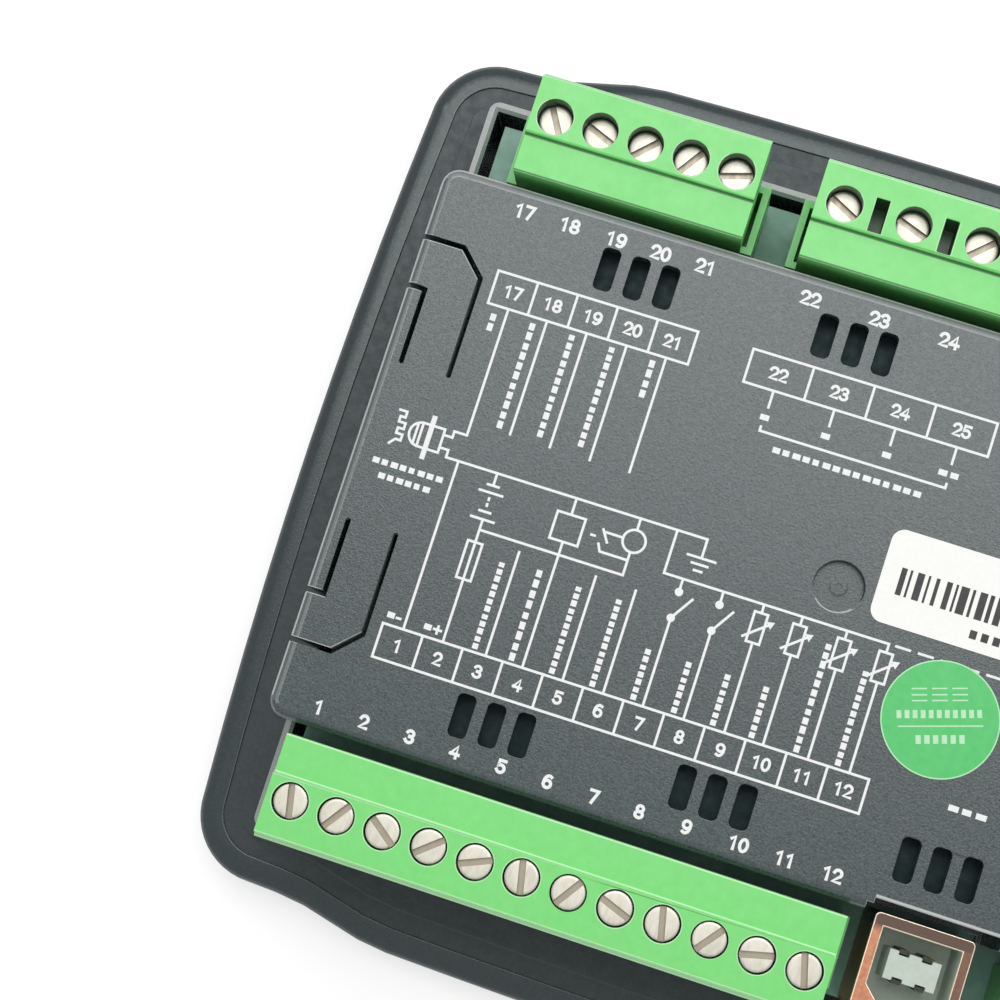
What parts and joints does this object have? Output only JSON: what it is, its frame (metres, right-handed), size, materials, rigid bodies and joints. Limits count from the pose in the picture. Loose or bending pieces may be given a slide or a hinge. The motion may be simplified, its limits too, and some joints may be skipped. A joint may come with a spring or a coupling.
{
  "type": "genset controller",
  "caption": "Panel-mounted generating-set controller: a bowed front bezel with display and keys, a rear box with a label plate, pluggable green screw terminals and a data socket.",
  "frame": {"origin": "centre of the plane of the front rim, on which the controller lies face down", "axes": "+X along the terminal numbers, +Y towards the upper terminal row, +Z out of the back, towards the terminals"},
  "size_m": [0.1254, 0.107, 0.0345],
  "materials": {
    "front_bezel": "satin, fine moulded grain",
    "panel_gasket": "matt",
    "back_cover": "fine moulded grain",
    "display_window": "clear",
    "display_glass": "clear",
    "display_frame": "satin",
    "circuit_board": "solder mask",
    "board_screw": "plated",
    "chip_black": "matt",
    "status_lamps": "diffused",
    "key_red": "matt",
    "key_grey": "matt",
    "key_green": "matt",
    "header_green": "satin",
    "plug_green": "satin",
    "contact": "tinned",
    "clamp_screw": "plated",
    "wire_clamp": "plated",
    "usb_shell": "bright",
    "usb_insert": "satin",
    "data_label": "paper film",
    "round_sticker": "film",
    "part_black": "satin",
    "capacitors": "sleeved"
  },
  "bodies": {
    "housing": {"front_bezel": "front_bezel", "panel_gasket": "panel_gasket", "back_cover": "back_cover", "display_window": "display_window", "display_glass": "display_glass", "display_frame": "display_frame", "display_board": "circuit_board", "display_board_screws": "board_screw", "tact_switches": "chip_black", "status_lamps": "status_lamps", "main_board": "circuit_board", "main_board_screws": "board_screw", "board_link": "chip_black", "header_1_12": "header_green", "header_13_16": "header_green", "header_17_21": "header_green", "header_22_25": "header_green", "header_26_29": "header_green", "pins_1_12": "contact", "pins_13_16": "contact", "pins_17_21": "contact", "pins_22_25": "contact", "pins_26_29": "contact", "usb_shell": "usb_shell", "usb_insert": "usb_insert", "usb_contacts": "contact", "data_label": "data_label", "round_sticker": "round_sticker", "output_relays": "part_black", "capacitors": "capacitors", "current_sensors": "part_black", "controller_chip": "chip_black"},
    "terminal_plug_1_12": {"plug_1_12": "plug_green", "screws_1_12": "clamp_screw", "clamps_1_12": "wire_clamp"},
    "terminal_plug_13_16": {"plug_13_16": "plug_green", "screws_13_16": "clamp_screw", "clamps_13_16": "wire_clamp"},
    "terminal_plug_17_21": {"plug_17_21": "plug_green", "screws_17_21": "clamp_screw", "clamps_17_21": "wire_clamp"},
    "terminal_plug_22_25": {"plug_22_25": "plug_green", "screws_22_25": "clamp_screw", "clamps_22_25": "wire_clamp"},
    "terminal_plug_26_29": {"plug_26_29": "plug_green", "screws_26_29": "clamp_screw", "clamps_26_29": "wire_clamp"},
    "button_stop": {"key_stop": "key_red"},
    "button_manual": {"key_manual": "key_grey"},
    "button_auto": {"key_auto": "key_grey"},
    "button_start": {"key_start": "key_green"},
    "button_up": {"key_up": "key_grey"},
    "button_down": {"key_down": "key_grey"}
  },
  "joints": [
    {"name": "plug_1_12_pull", "type": "slide", "parent": "housing", "child": "terminal_plug_1_12", "axis": [0, 0, 1], "range_m": [0, 0.012]},
    {"name": "plug_13_16_pull", "type": "slide", "parent": "housing", "child": "terminal_plug_13_16", "axis": [0, 0, 1], "range_m": [0, 0.012]},
    {"name": "plug_17_21_pull", "type": "slide", "parent": "housing", "child": "terminal_plug_17_21", "axis": [0, 0, 1], "range_m": [0, 0.012]},
    {"name": "plug_22_25_pull", "type": "slide", "parent": "housing", "child": "terminal_plug_22_25", "axis": [0, 0, 1], "range_m": [0, 0.012]},
    {"name": "plug_26_29_pull", "type": "slide", "parent": "housing", "child": "terminal_plug_26_29", "axis": [0, 0, 1], "range_m": [0, 0.012]},
    {"name": "key_stop_press", "type": "slide", "parent": "housing", "child": "button_stop", "axis": [0, 0, 1], "range_m": [0, 0.0008], "stiffness_N_per_m": 1500},
    {"name": "key_manual_press", "type": "slide", "parent": "housing", "child": "button_manual", "axis": [0, 0, 1], "range_m": [0, 0.0008], "stiffness_N_per_m": 1500},
    {"name": "key_auto_press", "type": "slide", "parent": "housing", "child": "button_auto", "axis": [0, 0, 1], "range_m": [0, 0.0008], "stiffness_N_per_m": 1500},
    {"name": "key_start_press", "type": "slide", "parent": "housing", "child": "button_start", "axis": [0, 0, 1], "range_m": [0, 0.0008], "stiffness_N_per_m": 1500},
    {"name": "key_up_press", "type": "slide", "parent": "housing", "child": "button_up", "axis": [0, 0, 1], "range_m": [0, 0.0008], "stiffness_N_per_m": 1500},
    {"name": "key_down_press", "type": "slide", "parent": "housing", "child": "button_down", "axis": [0, 0, 1], "range_m": [0, 0.0008], "stiffness_N_per_m": 1500}
  ]
}
